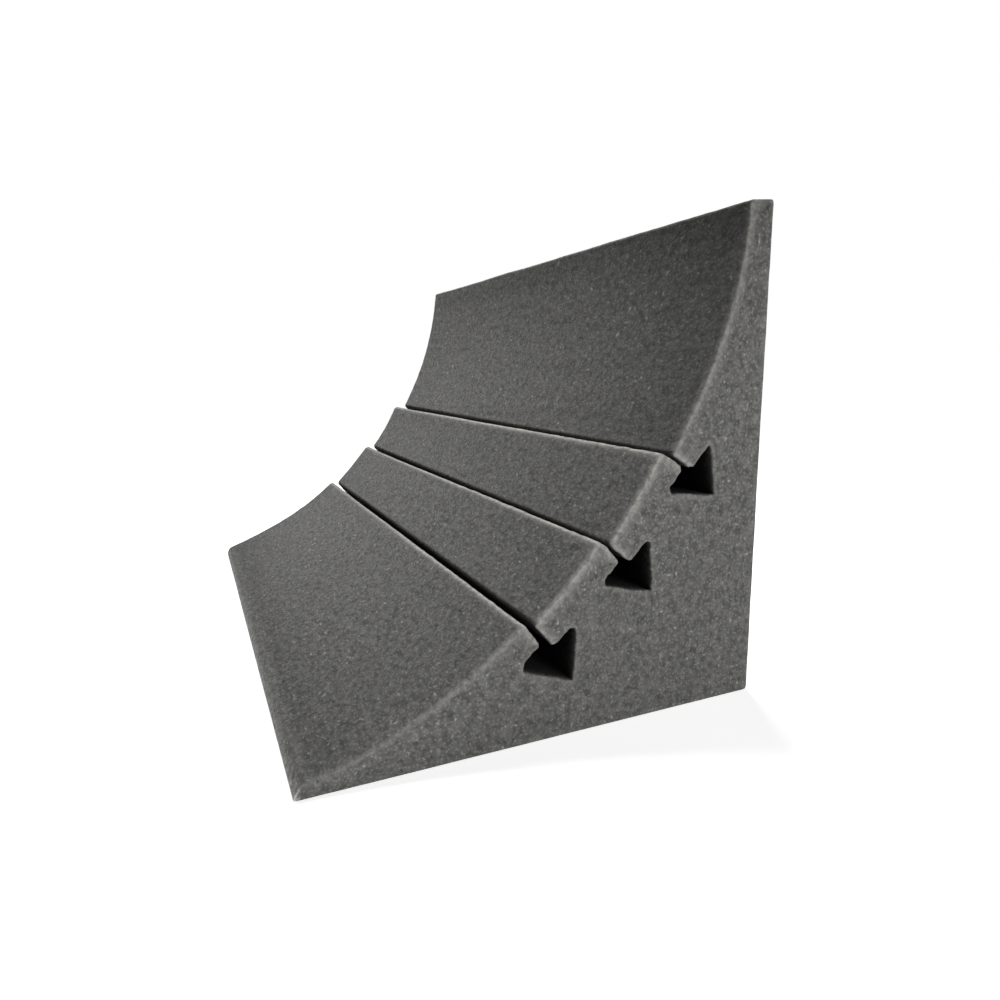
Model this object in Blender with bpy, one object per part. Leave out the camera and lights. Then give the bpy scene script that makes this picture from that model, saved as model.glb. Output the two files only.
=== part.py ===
"""Corner bass trap: one contour-cut block of open-cell acoustic foam.

The block is a straight prism. Its section is drawn once, as a single closed outline,
and extruded along the corner that the trap fills. In the section u runs out from the
wall face and v runs up from the base face, and both start at the square back edge.
Metres, +Z up, the base face on z = 0, the wall face towards +Y, the length along X.
"""

import math

import bpy

# The block
LENGTH = 0.610  # along the corner
LEG = 0.305  # each back face, from the square back edge to its tip
TIP = 0.0125  # thickness left at the end of each leg
FRONT_RADIUS = 0.385  # of the concave front

# The saw slots and the hollows that they lead into
SLOT_COUNT = 3
SLOT_PITCH = 0.0645  # from slot to slot along the front, the middle one on the diagonal
SLOT_GAP = 0.0036
BLOCK_STEP = 0.0065  # how far each slot's lower corner stands proud of the lip above it
HOLLOW_FRONT = 0.0235  # from the front to a hollow's near edge, above the slot
HOLLOW_DEPTH = 0.0500  # from the front to a hollow's deep corner
HOLLOW_ASIDE = 0.0030  # how far the deep corner lies to the toe's side of the slot
HOLLOW_HALF = 0.0195  # from the slot's middle to each side tip of a hollow
HOLLOW_END = 0.0030  # cut off each side tip, both along the slot and across it

# Roundings that the wire leaves where it turns
CORNER_ROUND = 0.0045  # proud corner below a slot
LIP_ROUND = 0.0030  # lip above a slot
PRONG_ROUND = 0.0025  # where a slot opens into its hollow
HOLLOW_ROUND = 0.0010  # tips and deep corner of a hollow

FACE_STEP = 0.009  # longest straight run along a curved face
TURN_STEP = math.radians(22.5)  # longest turn between two points of a rounding

FOAM_COLOUR = (0.100, 0.098, 0.094, 1.0)
FOAM_ROUGHNESS = 1.0


def front_centre():
    """Centre of the front's circle, which passes through the front edge of both tips."""
    half_chord = (LEG - TIP) / math.sqrt(2.0)
    middle = (LEG + TIP) / 2.0
    reach = math.sqrt(FRONT_RADIUS**2 - half_chord**2)
    return middle + reach / math.sqrt(2.0)


def at_polar(radius, angle, aside=0.0):
    """Point at a radius and angle about the front's centre, moved aside towards the toe."""
    centre = front_centre()
    u = centre - radius * math.cos(angle) + aside * math.sin(angle)
    v = centre - radius * math.sin(angle) - aside * math.cos(angle)
    return u, v


def slot_angles():
    """Angles of the slots about the front's centre, from the top one to the lowest."""
    pitch = SLOT_PITCH / FRONT_RADIUS
    first = math.radians(45.0) - pitch * (SLOT_COUNT - 1) / 2.0
    return [first + pitch * number for number in range(SLOT_COUNT)]


def face_points(start_angle, start_radius, end_angle, end_radius):
    """Points inside one block's front face, whose radius changes evenly along it."""
    turn = end_angle - start_angle
    count = max(2, math.ceil(turn * FRONT_RADIUS / FACE_STEP))
    points = []
    for number in range(1, count):
        share = number / count
        radius = start_radius + (end_radius - start_radius) * share
        points.append((at_polar(radius, start_angle + turn * share), 0.0))
    return points


def slot_points(angle):
    """Outline down one slot, round its hollow and out again, each point with its rounding.

    The hollow is an arrowhead whose point is its deep corner and whose shaft is the slot.
    The wire comes out BLOCK_STEP nearer the front than it goes in, so the lower side's
    corner, prong and side tip all lie that much further forward.
    """
    half_gap = SLOT_GAP / 2.0
    upper = FRONT_RADIUS + HOLLOW_FRONT
    lower = upper - BLOCK_STEP
    inner = HOLLOW_HALF - HOLLOW_END
    return [
        (at_polar(FRONT_RADIUS + BLOCK_STEP / 2.0, angle, -half_gap), LIP_ROUND),
        (at_polar(upper, angle, -half_gap), PRONG_ROUND),
        (at_polar(upper, angle, -inner), HOLLOW_ROUND),
        (at_polar(upper + HOLLOW_END, angle, -HOLLOW_HALF), HOLLOW_ROUND),
        (at_polar(FRONT_RADIUS + HOLLOW_DEPTH, angle, HOLLOW_ASIDE), HOLLOW_ROUND),
        (at_polar(lower + HOLLOW_END, angle, HOLLOW_HALF), HOLLOW_ROUND),
        (at_polar(lower, angle, inner), HOLLOW_ROUND),
        (at_polar(lower, angle, half_gap), PRONG_ROUND),
        (at_polar(FRONT_RADIUS - BLOCK_STEP / 2.0, angle, half_gap), CORNER_ROUND),
    ]


def section_points():
    """The whole section as a closed outline, anticlockwise from the square back edge."""
    centre = front_centre()
    tip_angle = math.atan2(centre - LEG, centre - TIP)
    toe_angle = math.pi / 2.0 - tip_angle
    half_turn = SLOT_GAP / 2.0 / FRONT_RADIUS
    outline = [((0.0, 0.0), 0.0), ((0.0, LEG), 0.0), ((TIP, LEG), 0.0)]
    start_angle = tip_angle
    start_radius = FRONT_RADIUS
    for angle in slot_angles():
        lip_radius = FRONT_RADIUS + BLOCK_STEP / 2.0
        outline += face_points(start_angle, start_radius, angle - half_turn, lip_radius)
        outline += slot_points(angle)
        start_angle = angle + half_turn
        start_radius = FRONT_RADIUS - BLOCK_STEP / 2.0
    outline += face_points(start_angle, start_radius, toe_angle, FRONT_RADIUS)
    outline += [((LEG, TIP), 0.0), ((LEG, 0.0), 0.0)]
    return outline


def rounded(outline):
    """The outline's points, with an arc in place of each corner that has a rounding."""
    points = []
    for number, (corner, radius) in enumerate(outline):
        if radius == 0.0:
            points.append(corner)
            continue
        before = outline[number - 1][0]
        after = outline[(number + 1) % len(outline)][0]
        run_in = math.hypot(before[0] - corner[0], before[1] - corner[1])
        run_out = math.hypot(after[0] - corner[0], after[1] - corner[1])
        in_u, in_v = (before[0] - corner[0]) / run_in, (before[1] - corner[1]) / run_in
        out_u, out_v = (after[0] - corner[0]) / run_out, (after[1] - corner[1]) / run_out
        opening = math.acos(max(-1.0, min(1.0, in_u * out_u + in_v * out_v)))
        reach = min(radius / math.tan(opening / 2.0), run_in * 0.45, run_out * 0.45)
        arc_radius = reach * math.tan(opening / 2.0)
        split_u, split_v = in_u + out_u, in_v + out_v
        split = math.hypot(split_u, split_v)
        away = arc_radius / math.sin(opening / 2.0)
        middle_u = corner[0] + split_u / split * away
        middle_v = corner[1] + split_v / split * away
        start = math.atan2(corner[1] + in_v * reach - middle_v, corner[0] + in_u * reach - middle_u)
        end = math.atan2(corner[1] + out_v * reach - middle_v, corner[0] + out_u * reach - middle_u)
        turn = math.remainder(end - start, 2.0 * math.pi)
        count = max(1, math.ceil(abs(turn) / TURN_STEP))
        for step in range(count + 1):
            angle = start + turn * step / count
            points.append((middle_u + arc_radius * math.cos(angle), middle_v + arc_radius * math.sin(angle)))
    return points


def foam_material():
    """Charcoal grey polyurethane foam, dull all over."""
    material = bpy.data.materials.new("charcoal_foam")
    material.use_nodes = True
    shader = material.node_tree.nodes["Principled BSDF"]
    shader.inputs["Base Color"].default_value = FOAM_COLOUR
    shader.inputs["Roughness"].default_value = FOAM_ROUGHNESS
    shader.inputs["Metallic"].default_value = 0.0
    return material


def foam_block(collection):
    """The section as a filled 2D curve, extruded half the length each way along X."""
    curve = bpy.data.curves.new("foam_block", "CURVE")
    curve.dimensions = "2D"
    curve.fill_mode = "BOTH"
    curve.extrude = LENGTH / 2.0
    points = rounded(section_points())
    spline = curve.splines.new("POLY")
    spline.points.add(len(points) - 1)
    for point, (u, v) in zip(spline.points, points):
        point.co = (LEG / 2.0 - u, v, 0.0, 1.0)
    spline.use_cyclic_u = True
    curve.materials.append(foam_material())
    block = bpy.data.objects.new("foam_block", curve)
    block.rotation_euler = (math.radians(90.0), 0.0, math.radians(90.0))
    collection.objects.link(block)
    return block


for old in list(bpy.data.objects):
    bpy.data.objects.remove(old, do_unlink=True)

trap_collection = bpy.data.collections.new("bass_trap")
bpy.context.scene.collection.children.link(trap_collection)
foam_block(trap_collection)
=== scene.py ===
import math

import bpy
import numpy as np
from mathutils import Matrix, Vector
from mathutils.geometry import delaunay_2d_cdt


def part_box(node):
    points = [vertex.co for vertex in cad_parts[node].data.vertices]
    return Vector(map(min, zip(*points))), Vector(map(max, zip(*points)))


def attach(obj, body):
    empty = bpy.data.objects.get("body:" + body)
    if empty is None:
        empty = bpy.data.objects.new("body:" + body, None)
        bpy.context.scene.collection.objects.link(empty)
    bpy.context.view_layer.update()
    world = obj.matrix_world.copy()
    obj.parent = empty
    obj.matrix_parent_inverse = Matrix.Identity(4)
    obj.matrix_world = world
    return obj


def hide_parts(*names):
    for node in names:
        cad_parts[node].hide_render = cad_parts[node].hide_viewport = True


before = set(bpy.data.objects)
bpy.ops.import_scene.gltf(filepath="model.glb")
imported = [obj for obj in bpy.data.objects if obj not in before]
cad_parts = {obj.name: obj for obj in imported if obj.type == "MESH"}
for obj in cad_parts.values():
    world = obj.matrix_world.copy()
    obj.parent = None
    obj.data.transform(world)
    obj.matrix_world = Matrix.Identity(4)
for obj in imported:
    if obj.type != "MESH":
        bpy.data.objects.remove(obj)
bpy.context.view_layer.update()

# THE CAMERA
# A wide lens close to the near end, a little below the block's top edge, held with the
# level leaning. The picture was cropped off its middle, which the shift gives back.

camera_data = bpy.data.cameras.new("camera")
camera_data.sensor_fit = "HORIZONTAL"
camera_data.sensor_width = 36.0
camera_data.lens = 27.02
camera_data.shift_x = -0.0183
camera_data.shift_y = 0.0831
camera_data.clip_start = 0.01
camera_data.clip_end = 60.0
camera = bpy.data.objects.new("camera", camera_data)
camera.location = (0.68205, -0.17443, 0.22814)
camera.rotation_euler = (math.radians(72.978), math.radians(2.168), math.radians(66.469))
bpy.context.scene.collection.objects.link(camera)
bpy.context.scene.camera = camera


# THE FOAM BLOCK: ITS OUTLINE
# One piece of charcoal-grey open-cell polyurethane foam, cut from a bun by a computer-driven
# saw wire that runs along the block. The wire leaves two flat backs at a right angle, a
# hollow curved front, and three slots by which it went in and out to cut the hollows.

# sizes are in millimetres: u out from the wall face, v up from the base, x along the block
block_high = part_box("foam_block")[1]
HALF_LENGTH = 1000 * block_high[0]
LEG = 1000 * block_high[2]
TIP = 12.5  # thickness of the blunt tips
FRONT_RADIUS = 385.0
# how far the front's centre is from both backs, for an arc through the tips' front corners
FRONT_CENTRE = (LEG + TIP + math.sqrt(2 * FRONT_RADIUS ** 2 - (LEG - TIP) ** 2)) / 2

# how much the wire and handling have rounded each kind of edge
BACK_ROUND = 1.8
TOE_ROUND = 2.8
PRONG_ROUND = 3.2
HOLLOW_ROUND = 1.0
WINDOW = 1.2  # a corner is rounded by a mean over this many of its roundings to each side
WINDOW_FADE = 2.2  # which shrinks to nothing this many times as far from the corner
WINDOW_SAMPLES = 25

# how much the torn cells along each kind of edge fluff up, and how strongly a highlight is painted along it
BACK_FRAY = 0.3
TIP_FRAY = 0.1
LIP_FRAY = 0.4
PRONG_FRAY = 0.3
PROUD_FRAY = 1.5
SHARP_SPREAD = 1.7  # how far from a sharp edge they do
ROUND_SPREAD = 0.35  # and how much further for each millimetre of a round one's window

# painted light and shade, against 1.0 on the faces: painted shade makes the slots and
# hollows near black, and painted light makes the toe's lower edge pale
MOUTH_DEPTH = 5.0  # how far down a slot its mouth ends
MOUTH_PAINTED_SHADE = 0.45
PRONG_PAINTED_SHADE = 0.2
HOLLOW_PAINTED_SHADE = 0.06
TOE_PAINTED_SHADING = (0.95, 4.0)  # at its front corner and at its lower one
TOE_FADE = 5.0  # how far along the base from that corner
# and painted shade on the front where it nears an edge: how much darker, and within how far of it
TIP_SHADE = (0.2, 10.0)
TOE_SHADE = (0.34, 32.0)
NO_SHADE = (0.0, 1.0)  # on the faces that near no edge

# points along each run of the outline: a back, a tip, the faces from the top one down, and
# the sides of a slot and its hollow
BACK_STEPS = 36
TIP_STEPS = 9
FACE_STEPS = (80, 34, 34, 72)
SLOT_STEPS = (12, 10, 4, 11, 11, 4, 10, 12)
FACE_BENDS = 28  # points that give a face its curve, whatever its steps
CORNER_CROWDING = 0.7  # how much closer together the points lie near corners

# The near end, then the far one. It is the same cut, but foam gives as the wire drags
# through it, so the two ends differ by a few millimetres. Faces are angles about the
# front's centre and depths behind the nominal front. A slot's gaps are at its mouth and
# at its prongs; its lip is above the mouth, and the corner below it stands proud. Rounds
# are those of the lip and of the proud corner, and fray is how much the edges there fluff
# up and how strongly a highlight is painted along them.
NEAR_END = {
    "back": (-0.9, 307.2),
    "tip": (15.6, 306.6),
    "faces": [
        ((12.6, 17.5, 24.0, 34.2), (-2.8, 1.6, 4.2, 7.0)),
        ((34.8, 39.0, 43.7), (-0.6, 1.2, 4.4)),
        ((44.4, 49.0, 53.5), (-2.2, 0.4, 2.6)),
        ((54.5, 60.0, 66.0, 76.4), (-2.6, -0.2, 2.6, 4.6)),
    ],
    "slots": [
        {"angle": 34.59, "gaps": (2.7, 3.3), "lip": 7.0, "proud": -0.8},
        {"angle": 44.20, "gaps": (3.0, 4.1), "lip": 4.4, "proud": -2.4},
        {"angle": 54.02, "gaps": (4.4, 5.4), "lip": 2.8, "proud": -2.8},
    ],
    "rounds": (2.6, 3.4),
    "fray_and_highlight": 1.0,
    "toe": ((300.6, 9.8), (306.4, 0.0)),
}
FAR_END = {
    "back": (0.0, 305.0),
    "tip": (9.8, 304.6),
    "faces": [
        ((12.6, 17.5, 24.0, 34.2), (2.4, 4.6, 6.6, 8.2)),
        ((34.9, 39.0, 43.6), (-2.0, 0.8, 3.0)),
        ((44.6, 49.0, 53.4), (-3.6, -1.6, 1.2)),
        ((54.6, 60.0, 66.0, 76.6), (-4.0, -1.8, -0.2, 4.0)),
    ],
    "slots": [
        {"angle": 34.60, "gaps": (5.6, 3.2), "lip": 8.2, "proud": -2.2},
        {"angle": 44.30, "gaps": (4.2, 3.4), "lip": 3.0, "proud": -3.8},
        {"angle": 54.10, "gaps": (4.4, 3.3), "lip": 1.4, "proud": -4.2},
    ],
    "rounds": (3.4, 4.8),
    "fray_and_highlight": 0.35,
    "toe": ((302.2, 8.8), (306.4, 0.3)),
}
# Each hollow is an arrowhead whose shaft is its slot: the depths of its two prongs, and its
# corners as the way across the slot, towards the toe, and the depth behind the front.
HOLLOWS = [
    ((24.7, 18.6), ((-19.0, 26.4), (-19.9, 28.3), (3.6, 49.1), (18.4, 20.2), (15.4, 17.3))),
    ((24.2, 18.0), ((-18.4, 24.2), (-19.8, 26.6), (2.3, 50.2), (19.2, 21.0), (15.9, 17.4))),
    ((23.7, 16.6), ((-17.2, 21.6), (-19.9, 24.8), (2.0, 50.0), (20.8, 21.4), (16.8, 16.8))),
]


def from_slot(angle, aside, depth):
    """Point reached from the front's centre: out at an angle, then aside towards the toe."""
    turn = np.radians(angle)
    reach = FRONT_RADIUS + np.asarray(depth, float)
    u = FRONT_CENTRE - reach * np.cos(turn) + aside * np.sin(turn)
    v = FRONT_CENTRE - reach * np.sin(turn) - aside * np.cos(turn)
    return np.stack([u, v], -1)


def face_bends(angles, depths, edge=0.0, shade=NO_SHADE):
    """Points inside one face, whose depth is the polynomial through a few measured depths.

    Near an edge at a given angle painted shade makes the face darker, by the shade's share
    times the exponential of minus the distance from the edge over the shade's reach.
    """
    curve = np.polyfit(angles, depths, len(angles) - 1)
    swing = np.linspace(angles[0], angles[-1], FACE_BENDS + 2)[1:-1]
    apart = np.abs(np.radians(swing - edge)) * FRONT_RADIUS
    painted_shades = 1.0 - shade[0] * np.exp(-apart / shade[1])
    points = from_slot(swing, 0.0, np.polyval(curve, swing))
    return [(u, v, 0.0, 0, 0.0, painted_shading) for (u, v), painted_shading in zip(points, painted_shades)]


def slot_corners(slot, hollow, end, face_steps):
    """Corners of a slot and its hollow: u, v, rounding, steps to the next, fray with its painted highlight,
    and painted shade.

    Half a gap to each side of the slot's middle line lie its lip and proud corner, at the
    mouth, and its prongs. Between them its sides are straight.
    """
    mouth, inner = np.array(slot["gaps"]) / 2
    prongs, tips = hollow
    # painted shade makes the prongs dark and the hollows near black
    runs = [
        (-mouth, slot["lip"], end["rounds"][0], LIP_FRAY * end["fray_and_highlight"], 1.0),
        (-inner, prongs[0], PRONG_ROUND, PRONG_FRAY * end["fray_and_highlight"], PRONG_PAINTED_SHADE),
        *[(aside, depth, HOLLOW_ROUND, 0.0, HOLLOW_PAINTED_SHADE) for aside, depth in tips],
        (inner, prongs[1], PRONG_ROUND, PRONG_FRAY * end["fray_and_highlight"], PRONG_PAINTED_SHADE),
        (mouth, slot["proud"], end["rounds"][1], PROUD_FRAY * end["fray_and_highlight"], 1.0),
    ]
    corners = []
    for (aside, depth, rounding, fray_and_highlight, painted_shading), steps in zip(runs, (*SLOT_STEPS, face_steps)):
        corners += [(*from_slot(slot["angle"], aside, depth), rounding, steps, fray_and_highlight, painted_shading)]

    # one more on each side, where the mouth ends and its painted shade deepens: after the first corner, and
    # before the last
    for position, side, edge, prong in ((1, -1, slot["lip"], prongs[0]), (-1, 1, slot["proud"], prongs[1])):
        share = MOUTH_DEPTH / (prong - edge)
        aside = side * (mouth + (inner - mouth) * share)
        u, v = from_slot(slot["angle"], aside, edge + MOUTH_DEPTH)
        corners.insert(position, (u, v, 0.0, 0, 0.0, MOUTH_PAINTED_SHADE))
    return corners


def crowded(share, amount):
    """Shares from 0 to 1 drawn towards both, by taking one wave of a sine from each."""
    return share - amount * np.sin(2 * np.pi * share) / (2 * np.pi)


def section(end):
    """One end's outline: its points, their fray and painted highlight, their painted light and shade, and
    the distance along it.

    The outline is drawn sharp, as corners joined by straight runs, and sampled closer
    together towards each corner. Every sample then becomes the mean of the sharp outline
    over a window that is widest at a corner, and this rounds the corner off.
    """
    toe_front, toe_low = end["toe"]
    corners = [(0.0, 0.0, BACK_ROUND, BACK_STEPS, BACK_FRAY, 1.0)]
    corners += [(*end["back"], BACK_ROUND, TIP_STEPS, BACK_FRAY, 1.0)]
    # painted shade at the tip, which the top face carries on near it
    corners += [(*end["tip"], BACK_ROUND, FACE_STEPS[0], TIP_FRAY, 1.0 - TIP_SHADE[0])]
    corners += face_bends(*end["faces"][0], end["faces"][0][0][0], TIP_SHADE)
    for number, slot in enumerate(end["slots"]):
        corners += slot_corners(slot, HOLLOWS[number], end, FACE_STEPS[number + 1])
        last = number + 1 == len(end["slots"])
        # painted shade on the lowest face near the toe
        toe_edge = (end["faces"][-1][0][-1], TOE_SHADE) if last else ()
        corners += face_bends(*end["faces"][number + 1], *toe_edge)
    # the toe: a little painted shade at its front corner, and painted light on its lower edge that fades
    # along the base
    corners += [(*toe_front, TOE_ROUND, TIP_STEPS, TIP_FRAY, TOE_PAINTED_SHADING[0])]
    corners += [(*toe_low, TOE_ROUND, BACK_STEPS, TIP_FRAY, TOE_PAINTED_SHADING[1])]
    corners += [(toe_low[0] - TOE_FADE, toe_low[1], 0.0, 0, 0.0, 1.0)]
    corners = np.array(corners)

    loop = np.vstack([corners, corners[:1]])
    along = np.concatenate([[0.0], np.cumsum(np.linalg.norm(np.diff(loop[:, :2], axis=0), axis=1))])
    total = along[-1]
    real = np.flatnonzero(corners[:, 3])  # the others have no steps: they only bend the outline
    stops = np.append(along[real[1:]], total)
    at = []
    for start, stop, steps in zip(along[real], stops, corners[real, 3].astype(int)):
        at.append(start + (stop - start) * crowded(np.arange(steps) / steps, CORNER_CROWDING))
    at = np.concatenate(at)

    away = np.abs((at[:, None] - along[real][None, :] + total / 2) % total - total / 2)
    reach = WINDOW * corners[real, 2]
    window = (reach * np.clip(1.0 - (away / (WINDOW_FADE * reach)) ** 2, 0.0, 1.0) ** 2).max(1)
    spread = SHARP_SPREAD + ROUND_SPREAD * reach
    fray_and_highlight = (corners[real, 4] * np.exp(-((away / spread) ** 2))).max(1)
    samples = (at[:, None] + window[:, None] * np.linspace(-1.0, 1.0, WINDOW_SAMPLES)) % total
    points = np.stack([np.interp(samples, along, loop[:, axis]).mean(1) for axis in (0, 1)], -1)
    return points, fray_and_highlight, np.interp(at, along, loop[:, 5]), at


# THE FOAM BLOCK: ITS SIDES
# The outline is carried from the far end to the near one, changing evenly from one to the
# other. The wire wandered a little, and torn cells stand up all over, worst at the edges.

STATIONS = 160  # along the block
END_CROWDING = 0.6  # how much closer together they lie near the ends
FRONT_RIM = 1.3  # rounding of the ends' edges along the front and in the slots and hollows
BACK_RIM = 0.4  # and along the backs and tips
RIM_STEPS = 4
RIM_BLEND = 7  # points over which these change into each other

# how high the relief stands, how far apart, and how it runs
CELL_RELIEF = 0.09  # tufts of torn cells
CELL_PITCHES = (3.0, 6.5)
FRAYED_GAIN = 2.0  # how much higher the finer ones are where the foam is fully frayed
GRAIN_DRAG = 1.5  # how much longer than wide the wire left them
WIRE_RELIEF = 0.10  # lines along the block that the wire left
WIRE_PITCH = 5.0
WIRE_PACE = 0.02  # how fast they change along the block, against across it
WANDER = 0.35  # slow drift of the wire
WANDER_PITCH = 75.0
WANDER_PACE = 0.4  # how fast it changes across the block, against along it
RAGGED = 0.6  # how far the cut edges of the slots and hollows stray at the ends
RAGGED_PITCH = 1.9
RAGGED_DEPTH = 3.0
TOE_CALM = 0.2  # share of all these on the toe, whose lower edge is too sharp for them
TOE_MARGIN = 6  # points past the toe's corners that are calm too

# how much the ends' edges fray, with a highlight painted along them, for each kind of run,
# and how far from them that reaches
BACK_EDGE = 0.1
TIP_EDGE = 0.2
SLOT_EDGE = 0.9
HOLLOW_EDGE = 0.25
FACE_EDGES = ((0.8, 0.8), (1.0, 1.0), (1.0, 1.0), (0.8, 0.25))  # at each one's top and bottom
EDGE_BLEND = 9  # points over which these change into each other
EDGE_SPREAD = 1.0  # where they hardly fray
SIDE_SPREAD = 1.6  # how much further for each unit of fray

# how the painted light and shade change along the block
DARK_DEPTH = 3.0  # how far in from the ends the painted shade of the hollows darkens
NEAR_SHADE = (0.34, 100.0)  # painted shade on the topmost face at the near end: how much darker, and how far in
NEAR_SHARES = (1.0, 0.4)  # of that at the face's top and at its bottom


def outward(points):
    """Unit normals of closed outlines, to the left of the way that they run."""
    ahead = np.roll(points, -1, axis=-2) - np.roll(points, 1, axis=-2)
    normal = np.stack([-ahead[..., 1], ahead[..., 0]], -1)
    return normal / np.linalg.norm(normal, axis=-1, keepdims=True)


def uneven(across, along, pitch, seed):
    """Smooth noise from -1 to 1: random values on a square grid, eased from cell to cell."""
    size = 257
    values = np.random.default_rng(seed).uniform(-1.0, 1.0, (size, size))
    i, j = np.floor(across / pitch).astype(int), np.floor(along / pitch).astype(int)
    a, b = across / pitch - i, along / pitch - j
    a, b = a * a * (3 - 2 * a), b * b * (3 - 2 * b)
    i, j, i1, j1 = i % size, j % size, (i + 1) % size, (j + 1) % size
    top = values[i, j] * (1 - a) + values[i1, j] * a
    return top * (1 - b) + (values[i, j1] * (1 - a) + values[i1, j1] * a) * b


def run_by_run(back, tip, faces, slot, hollow):
    """A value for each point of the outline, with one for each kind of run.

    Faces has one for each face, from the top down. A pair is the value at the run's start
    and the one at its end, and it changes evenly between them.
    """
    runs = [(BACK_STEPS, back), (TIP_STEPS, tip), (FACE_STEPS[0], faces[0])]
    for steps, face in zip(FACE_STEPS[1:], faces[1:]):
        runs += [(SLOT_STEPS[0], slot), (sum(SLOT_STEPS[1:-1]), hollow), (SLOT_STEPS[-1], slot)]
        runs += [(steps, face)]
    runs += [(TIP_STEPS, tip), (BACK_STEPS, back)]
    return np.concatenate([np.linspace(*np.broadcast_to(value, 2), steps) for steps, value in runs])


def smoothed(values, width):
    """Each value round the outline as the mean of those about it, an odd number in all."""
    count = len(values)
    return np.convolve(np.tile(values, 3), np.ones(width) / width, "same")[count:2 * count]


def blended(far, near, share):
    """The far end's value plus a share of its difference from the near end's."""
    return far + (near - far) * share


far_points, far_fray_and_highlight, far_painted_shading, far_at = section(FAR_END)
near_points, near_fray_and_highlight, near_painted_shading, near_at = section(NEAR_END)
around = len(far_at)

rim_size = smoothed(run_by_run(BACK_RIM, BACK_RIM, [FRONT_RIM] * 4, FRONT_RIM, FRONT_RIM), RIM_BLEND)
edge_fray_and_highlight = smoothed(run_by_run(BACK_EDGE, TIP_EDGE, FACE_EDGES, SLOT_EDGE, HOLLOW_EDGE), EDGE_BLEND)
in_slot = run_by_run(0.0, 0.0, [0.0] * 4, 1.0, 1.0)
on_top_face = run_by_run(0.0, 0.0, [NEAR_SHARES, 0.0, 0.0, 0.0], 0.0, 0.0)
calm = np.full(around, 1.0)
calm[-(BACK_STEPS + TIP_STEPS + TOE_MARGIN):-(BACK_STEPS - TOE_MARGIN)] = TOE_CALM
calm = smoothed(calm, RIM_BLEND)

stations = 2 * crowded(np.linspace(0.0, 1.0, STATIONS), END_CROWDING) - 1
turn = np.radians(90.0) * np.arange(1, RIM_STEPS + 1) / RIM_STEPS
body_x = stations[:, None] * (HALF_LENGTH - rim_size)
rim_x = HALF_LENGTH - rim_size * (1 - np.sin(turn))[:, None]
x = np.concatenate([-rim_x[::-1], body_x, rim_x])
inset = rim_size * np.concatenate([1 - np.cos(turn[::-1]), np.zeros(STATIONS), 1 - np.cos(turn)])[:, None]

to_near = (x + HALF_LENGTH) / (2 * HALF_LENGTH)
from_end = HALF_LENGTH - np.abs(x)
at = blended(far_at, near_at, to_near)
outlines = blended(far_points, near_points, to_near[..., None])
normals = outward(outlines)

# the ends' edges fray, and a highlight is painted along them
end_fray_and_highlight = blended(FAR_END["fray_and_highlight"], NEAR_END["fray_and_highlight"], to_near)
side_fray_and_highlight = end_fray_and_highlight * edge_fray_and_highlight * np.exp(-((from_end / (EDGE_SPREAD + SIDE_SPREAD * edge_fray_and_highlight)) ** 2))
fray_and_highlight = np.maximum(blended(far_fray_and_highlight, near_fray_and_highlight, to_near), side_fray_and_highlight)
# painted light and shade, blended from the far end to the near one
painted_shading = blended(far_painted_shading, near_painted_shading, to_near)
# painted shade is lifted at the very ends and reaches its full depth a few millimetres in
painted_shading = np.where(painted_shading < 1.0, 1.0 - (1.0 - painted_shading) * (1.0 - np.exp(-from_end / DARK_DEPTH)), painted_shading)
# painted shade on the topmost face near the near end
near_fade = np.exp(-(((HALF_LENGTH - x) / NEAR_SHADE[1]) ** 2))
painted_shading = painted_shading * (1.0 - NEAR_SHADE[0] * on_top_face * near_fade)

lift = CELL_RELIEF * (1.0 + FRAYED_GAIN * fray_and_highlight) * uneven(at, x / GRAIN_DRAG, CELL_PITCHES[0], 11)
lift = lift + CELL_RELIEF * uneven(at, x / GRAIN_DRAG, CELL_PITCHES[1], 12)
lift = lift + WIRE_RELIEF * uneven(at, x * WIRE_PACE, WIRE_PITCH, 13)
lift = lift + WANDER * uneven(at * WANDER_PACE, x, WANDER_PITCH, 14)
ragged_fade = np.exp(-((from_end / RAGGED_DEPTH) ** 2))
lift = lift + RAGGED * in_slot * ragged_fade * uneven(at, x, RAGGED_PITCH, 15)
lift = lift * calm
outlines = outlines + normals * (lift - inset)[..., None]
outlines[..., 1] = np.maximum(outlines[..., 1], 0.0)  # its own weight presses the base flat
places = np.stack([x, LEG / 2 - outlines[..., 0], outlines[..., 1]], -1).reshape(-1, 3)

rings = len(x)
ring, step = np.meshgrid(np.arange(rings - 1), np.arange(around), indexing="ij")
corner = ring * around + step
beside = ring * around + (step + 1) % around
sides = np.stack([corner, beside, beside + around, corner + around], -1).reshape(-1, 4)


# THE FOAM BLOCK: ITS ENDS
# The block is cut to length square across, which leaves two flat ends of finer relief.
# They have painted light along the front and painted shade at the thin top, and are frayed along their
# edges with a painted highlight.

END_PITCH = 3.0  # between points
ROW_SHARE = 0.866  # of that from row to row, which makes the triangles equal-sided
FRINGES = (1.2, 2.6)  # how far in from their edges two finer rows of points run
FRINGE_SLACK = 0.95  # a point this share of its row's distance from the edge, or less, is dropped
END_CELL_PITCH = 2.4
END_WAVE = 0.1  # height of slow waves across an end
END_WAVE_PITCH = 30.0
FLAT_RIM = 2.0  # how far in from the edge the relief has its full height
FRONT_PAINTED_LIGHT = 0.12  # painted light: how much paler an end is at the front than deep inside
EDGE_DEPTH = 25.0  # how far behind the front that fades
TOP_SHADE = 0.24  # painted shade: how much darker it is at the thin top
TOP_REACH = 75.0  # how far below the top that fades
END_SHARE = 0.7  # how frayed an end gets, with its painted highlight, against the sides at the same edge
END_SPREAD = 2.4  # how much further in that reaches for each unit of fray


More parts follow.
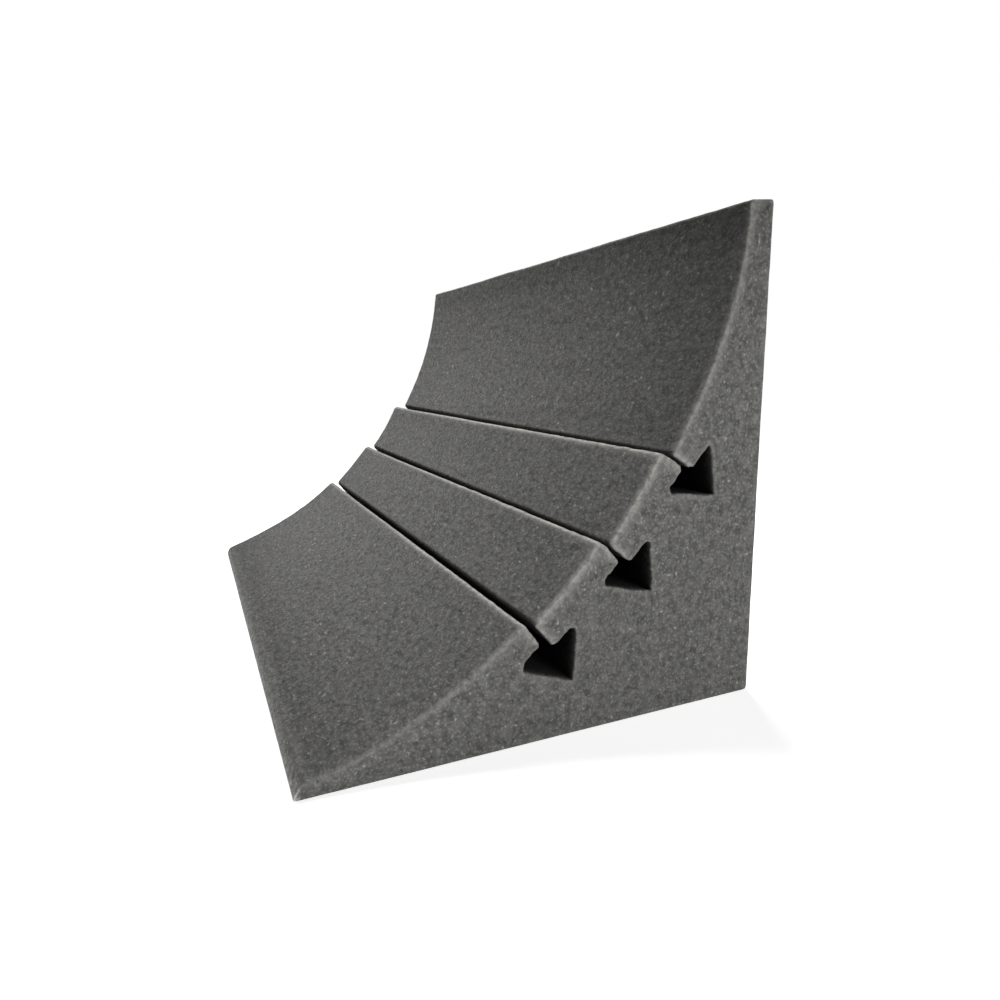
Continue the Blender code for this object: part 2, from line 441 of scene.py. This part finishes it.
def enclosed(points, outline):
    """Which points lie inside a closed outline.

    A level line from such a point to one side crosses the outline an odd number of times.
    """
    start, stop = outline, np.roll(outline, -1, axis=0)
    level = (start[:, 1] > points[:, None, 1]) != (stop[:, 1] > points[:, None, 1])
    rise = stop[:, 1] - start[:, 1]
    slope = (stop[:, 0] - start[:, 0]) / np.where(rise == 0.0, 1e-9, rise)
    crossing = start[:, 0] + (points[:, None, 1] - start[:, 1]) * slope
    return (level & (points[:, None, 0] < crossing)).sum(1) % 2 == 1


def nearest_side(points, outline):
    """Distance from each point to a closed outline, and the number of the side it is to.

    The nearest place on a side is the foot of the square line to it, or one of its ends.
    """
    side = np.roll(outline, -1, axis=0) - outline
    reach = ((points[:, None] - outline) * side).sum(-1) / (side * side).sum(-1)
    foot = outline + np.clip(reach, 0.0, 1.0)[..., None] * side
    apart = np.linalg.norm(points[:, None] - foot, axis=-1)
    return apart.min(1), apart.argmin(1)


def end_face(ring_number, first, end):
    """Flat end inside the ring with that number: its points, fray and painted highlight, painted light and
    shade, and triangles.

    Inside the ring lie two rows of points along it, and then a staggered grid. They are
    joined into triangles as near to equal as they can be.
    """
    rim_points = outlines[ring_number]
    low, high = rim_points.min(0), rim_points.max(0)
    rows = np.arange(low[1], high[1], END_PITCH * ROW_SHARE)
    columns = np.arange(low[0], high[0], END_PITCH)
    grid_u = columns[None, :] + np.where(np.arange(len(rows)) % 2, END_PITCH / 2, 0.0)[:, None]
    grid = np.stack([grid_u, np.broadcast_to(rows[:, None], grid_u.shape)], -1).reshape(-1, 2)
    grid = grid[enclosed(grid, rim_points)]

    fringes = [rim_points - inward * outward(rim_points) for inward in FRINGES]
    least = np.repeat([*FRINGES, FRINGES[-1] + END_PITCH / 2], [around, around, len(grid)])
    grid = np.vstack([*fringes, grid])
    gap, nearest = nearest_side(grid, rim_points)
    clear = gap > FRINGE_SLACK * least
    grid, gap, nearest = grid[clear], gap[clear], nearest[clear]

    flat = [Vector(p) for p in np.vstack([rim_points, grid])]
    loop = list(range(around))
    edges = [(i, (i + 1) % around) for i in loop]
    joined, origins = delaunay_2d_cdt(flat, edges, [loop], 1, 1e-6)[2:4]
    triangles = np.array([tuple(origins[i][0] for i in face) for face in joined])
    numbers = np.where(triangles < around, triangles + ring_number * around, triangles - around + first)
    side_x = math.copysign(1.0, x[ring_number, 0])
    if side_x > 0:
        numbers = numbers[:, ::-1]

    u, v = grid.T
    grain = CELL_RELIEF * uneven(u, v, END_CELL_PITCH, 21) + END_WAVE * uneven(u, v, END_WAVE_PITCH, 22)
    out = side_x * (HALF_LENGTH + grain * np.clip(gap / FLAT_RIM, 0.0, 1.0))
    points = np.stack([out, LEG / 2 - u, v], -1)
    edge = edge_fray_and_highlight[nearest]
    # fray along the end's edge, with its painted highlight
    face_fray_and_highlight = END_SHARE * end["fray_and_highlight"] * edge * np.exp(-((gap / (EDGE_SPREAD + END_SPREAD * edge)) ** 2))
    # painted light along the front and painted shade at the thin top
    depth = np.linalg.norm(grid - FRONT_CENTRE, axis=1) - FRONT_RADIUS
    end_painted_shading = 1.0 + FRONT_PAINTED_LIGHT * np.exp(-np.maximum(depth, 0.0) / EDGE_DEPTH)
    end_painted_shading = end_painted_shading * (1.0 - TOP_SHADE * np.exp(-(((LEG - v) / TOP_REACH) ** 2)))
    return points, face_fray_and_highlight, end_painted_shading, numbers


far_face = end_face(0, len(places), FAR_END)
near_face = end_face(rings - 1, len(places) + len(far_face[0]), NEAR_END)
places = np.concatenate([places, far_face[0], near_face[0]])
fray_and_highlight = np.concatenate([fray_and_highlight.ravel(), far_face[1], near_face[1]])
painted_shading = np.concatenate([painted_shading.ravel(), far_face[2], near_face[2]])
faces = sides.tolist() + far_face[3].tolist() + near_face[3].tolist()

foam_mesh = bpy.data.meshes.new("foam_trap")
foam_mesh.from_pydata((places * 0.001).tolist(), [], faces)  # Blender's lengths are metres
for name, values in (("fray_and_highlight", fray_and_highlight), ("painted_shading", painted_shading)):
    foam_mesh.attributes.new(name, "FLOAT", "POINT").data.foreach_set("value", values.astype(np.float32))
foam_mesh.polygons.foreach_set("use_smooth", np.ones(len(foam_mesh.polygons), bool))
foam_mesh.update()
foam = bpy.data.objects.new("foam_trap", foam_mesh)
bpy.context.scene.collection.objects.link(foam)


# THE FOAM BLOCK: ITS FINISH
# Charcoal-pigmented polyurethane foam, reticulated and sawn, never skinned. The saw opens
# the cells, so the eye sees pale torn struts round dark pits, and no shine at all. Cut
# edges are fuzzier, because loose struts stand out of them, and a highlight is painted
# paler along them; painted light and shade also make the foam paler or darker by place.

def linear(code):
    """The linear colour of an sRGB hex code: the power law above 0.04045, a line below."""
    parts = [int(code[i:i + 2], 16) / 255 for i in (1, 3, 5)]
    return [p / 12.92 if p <= 0.04045 else ((p + 0.055) / 1.055) ** 2.4 for p in parts] + [1.0]


def add(tree, kind, inputs=None, **settings):
    """Adds a node, sets its properties, and gives its inputs their values or links."""
    node = tree.nodes.new(kind)
    for name, value in settings.items():
        setattr(node, name, value)
    for name, value in (inputs or {}).items():
        if isinstance(value, bpy.types.NodeSocket):
            tree.links.new(value, node.inputs[name])
        else:
            node.inputs[name].default_value = value
    return node


# sizes here are in metres
CELL_SIZE = 0.0020  # real cells are about 1 mm, drawn twice as coarse so that they show
CLUMP_SIZE = 0.0042  # where the saw pulled up more or fewer struts
SPECK_SIZE = 0.0026  # lone bright struts and deep pits
TUFT_SIZE = 0.0035  # tufts along a frayed edge
STRUT_HEIGHT = 0.0006
STRUT_STRENGTH = 0.34  # how strongly light and shade follow it
CLUMP_SHARE = 0.45  # how much the clumps show against the cells
SPECK_LIGHT = 0.65  # how pale a lone strut gets, of the way to the fuzz's colour
TUFT_LIGHT = (0.4, 0.85)  # and the fuzz of an edge with its painted highlight, between its tufts and on them
PIT_DARK = 0.6  # how dark the deep pits are against the rest
PIT_COLOUR = "#494948"
STRUT_COLOUR = "#82817F"
FUZZ_AND_HIGHLIGHT_COLOUR = "#A3A19C"

foam_finish = bpy.data.materials.new("sawn_charcoal_foam")
foam_finish.use_nodes = True
foam_tree = foam_finish.node_tree
foam_shader = foam_tree.nodes["Principled BSDF"]
on_object = add(foam_tree, "ShaderNodeTexCoord").outputs["Object"]
grain = add(foam_tree, "ShaderNodeMapping", {"Vector": on_object, "Scale": (1 / GRAIN_DRAG, 1.0, 1.0)})
where = grain.outputs["Vector"]

# Pale struts at the middles of the pattern's cells, pits between them, and clumps of both. A
# Mix node's inputs go by number: 0 its factor, 2 and 3 its two values, 6 and 7 its colours.
cells = add(foam_tree, "ShaderNodeTexVoronoi", {"Vector": where, "Scale": 1 / CELL_SIZE, "Smoothness": 0.6},
            feature="SMOOTH_F1")
struts = add(foam_tree, "ShaderNodeMapRange", {"Value": cells.outputs["Distance"], "From Min": 0.5,
                                               "From Max": 0.05})
clumps = add(foam_tree, "ShaderNodeTexNoise", {"Vector": where, "Scale": 1 / CLUMP_SIZE, "Detail": 1.0})
raised = add(foam_tree, "ShaderNodeMapRange", {"Value": clumps.outputs["Fac"], "From Min": 0.25,
                                               "From Max": 0.75})
open_cells = add(foam_tree, "ShaderNodeMix", {0: CLUMP_SHARE, 2: struts.outputs["Result"],
                                              3: raised.outputs["Result"]})
foam_colour = add(foam_tree, "ShaderNodeMix", {0: open_cells.outputs[0], 6: linear(PIT_COLOUR),
                                               7: linear(STRUT_COLOUR)}, data_type="RGBA")

# lone bright struts anywhere, and tufts where an edge is frayed, which also paint its highlight, are the
# colour of fuzz
specks = add(foam_tree, "ShaderNodeTexNoise", {"Vector": where, "Scale": 1 / SPECK_SIZE, "Detail": 0.0})
bright = add(foam_tree, "ShaderNodeMapRange", {"Value": specks.outputs["Fac"], "From Min": 0.72,
                                               "From Max": 0.86, "To Max": SPECK_LIGHT})
tufts = add(foam_tree, "ShaderNodeTexNoise", {"Vector": where, "Scale": 1 / TUFT_SIZE, "Detail": 2.0})
ragged = add(foam_tree, "ShaderNodeMapRange", {"Value": tufts.outputs["Fac"], "From Min": 0.38,
                                               "From Max": 0.62, "To Min": TUFT_LIGHT[0],
                                               "To Max": TUFT_LIGHT[1]})
# fray also paints a highlight: paler fuzz along the cut edges
frayed_and_highlit = add(foam_tree, "ShaderNodeAttribute", attribute_name="fray_and_highlight")
fuzz_and_highlight = add(foam_tree, "ShaderNodeMath", {0: frayed_and_highlit.outputs["Fac"], 1: ragged.outputs["Result"]},
           operation="MULTIPLY")
fluff_and_highlight = add(foam_tree, "ShaderNodeMath", {0: fuzz_and_highlight.outputs["Value"], 1: bright.outputs["Result"]},
            operation="MAXIMUM")
fluffy_and_highlit = add(foam_tree, "ShaderNodeMix", {0: fluff_and_highlight.outputs["Value"], 6: foam_colour.outputs[2],
                                          7: linear(FUZZ_AND_HIGHLIGHT_COLOUR)}, data_type="RGBA")

# deep pits anywhere, and the painted light and shade of the place, darken or lighten all of that
pits = add(foam_tree, "ShaderNodeMapRange", {"Value": specks.outputs["Fac"], "From Min": 0.16,
                                             "From Max": 0.30, "To Min": PIT_DARK, "To Max": 1.0})
painted_shading_attribute = add(foam_tree, "ShaderNodeAttribute", attribute_name="painted_shading")
shade = add(foam_tree, "ShaderNodeMath", {0: painted_shading_attribute.outputs["Fac"], 1: pits.outputs["Result"]},
            operation="MULTIPLY")
colour = add(foam_tree, "ShaderNodeVectorMath", {"Vector": fluffy_and_highlit.outputs[2],
                                                 "Scale": shade.outputs["Value"]}, operation="SCALE")
foam_tree.links.new(colour.outputs["Vector"], foam_shader.inputs["Base Color"])
foam_shader.inputs["Roughness"].default_value = 0.95
foam_shader.inputs["Specular IOR Level"].default_value = 0.1
bump = add(foam_tree, "ShaderNodeBump", {"Height": open_cells.outputs[0], "Strength": STRUT_STRENGTH,
                                         "Distance": STRUT_HEIGHT})
foam_tree.links.new(bump.outputs["Normal"], foam_shader.inputs["Normal"])
foam_mesh.materials.append(foam_finish)

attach(foam, "root")
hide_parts("foam_block")


# THE STUDIO
# A plain white floor that keeps the block's soft shadow, and two soft lamps. Seen directly,
# the floor and the room glow just enough to look white, and lend the foam none of that.

FLOOR_HALF = 8.0
NEAR_GLOW = 0.70  # beside the block, where the lamps add the rest
FAR_GLOW = 1.0  # far out, where they add little
GLOW_REACHES = (0.5, 1.5)  # how far from the middle it starts and stops growing
FLOOR_GREY = "#E8E8E8"
WHITE = "#FFFFFF"
SKY = 0.03  # what the room adds from all sides


def seen_directly(tree):
    """1 for rays that come from the camera, a mirror or glass, and 0 for the rest."""
    path = add(tree, "ShaderNodeLightPath").outputs
    either = add(tree, "ShaderNodeMath", {0: path["Is Camera Ray"], 1: path["Is Glossy Ray"]},
                 operation="MAXIMUM")
    return add(tree, "ShaderNodeMath", {0: either.outputs["Value"], 1: path["Is Transmission Ray"]},
               operation="MAXIMUM").outputs["Value"]


floor_mesh = bpy.data.meshes.new("floor")
floor_corners = [(FLOOR_HALF * a, FLOOR_HALF * b, 0.0) for a, b in ((-1, -1), (1, -1), (1, 1), (-1, 1))]
floor_mesh.from_pydata(floor_corners, [], [(0, 1, 2, 3)])
floor = bpy.data.objects.new("floor", floor_mesh)
bpy.context.scene.collection.objects.link(floor)

floor_paint = bpy.data.materials.new("matt_white_floor_paint")
floor_paint.use_nodes = True
floor_tree = floor_paint.node_tree
floor_shader = floor_tree.nodes["Principled BSDF"]
floor_shader.inputs["Base Color"].default_value = linear(FLOOR_GREY)
floor_shader.inputs["Roughness"].default_value = 1.0
floor_shader.inputs["Specular IOR Level"].default_value = 0.0
floor_shader.inputs["Emission Color"].default_value = linear(WHITE)
on_floor = add(floor_tree, "ShaderNodeTexCoord").outputs["Object"]
from_middle = add(floor_tree, "ShaderNodeVectorMath", {0: on_floor}, operation="LENGTH")
level = add(floor_tree, "ShaderNodeMapRange", {"Value": from_middle.outputs["Value"],
                                               "From Min": GLOW_REACHES[0], "From Max": GLOW_REACHES[1],
                                               "To Min": NEAR_GLOW, "To Max": FAR_GLOW})
glow = add(floor_tree, "ShaderNodeMath", {0: seen_directly(floor_tree), 1: level.outputs["Result"]},
           operation="MULTIPLY")
floor_tree.links.new(glow.outputs["Value"], floor_shader.inputs["Emission Strength"])
floor_mesh.materials.append(floor_paint)

world = bpy.data.worlds.new("studio")
world.use_nodes = True
bpy.context.scene.world = world
room_tree = world.node_tree
room = room_tree.nodes["Background"]
room_glow = add(room_tree, "ShaderNodeMapRange", {"Value": seen_directly(room_tree), "To Min": SKY,
                                                  "To Max": 1.0})
room.inputs["Color"].default_value = linear(WHITE)
room_tree.links.new(room_glow.outputs["Result"], room.inputs["Strength"])


def lamp(name, place, aim, size, watts):
    """Square area lamp that faces the point it is aimed at."""
    data = bpy.data.lights.new(name, "AREA")
    data.size = size
    data.energy = watts
    lamp_object = bpy.data.objects.new(name, data)
    lamp_object.location = place
    lamp_object.rotation_euler = (Vector(aim) - Vector(place)).to_track_quat("-Z", "Y").to_euler()
    bpy.context.scene.collection.objects.link(lamp_object)


# A soft box hangs over the block, a little towards its far end and its wall side. A low lamp
# further off lights the near end from beyond its wall side, so it stays out of the hollows.
lamp("top_lamp", place=(-0.3, 0.1, 1.0), aim=(0.0, 0.0, 0.12), size=0.6, watts=15.7)
lamp("end_lamp", place=(1.722, 0.461, 0.401), aim=(0.25, 0.05, 0.12), size=0.8, watts=19.4)

bpy.context.scene.view_settings.view_transform = "Standard"
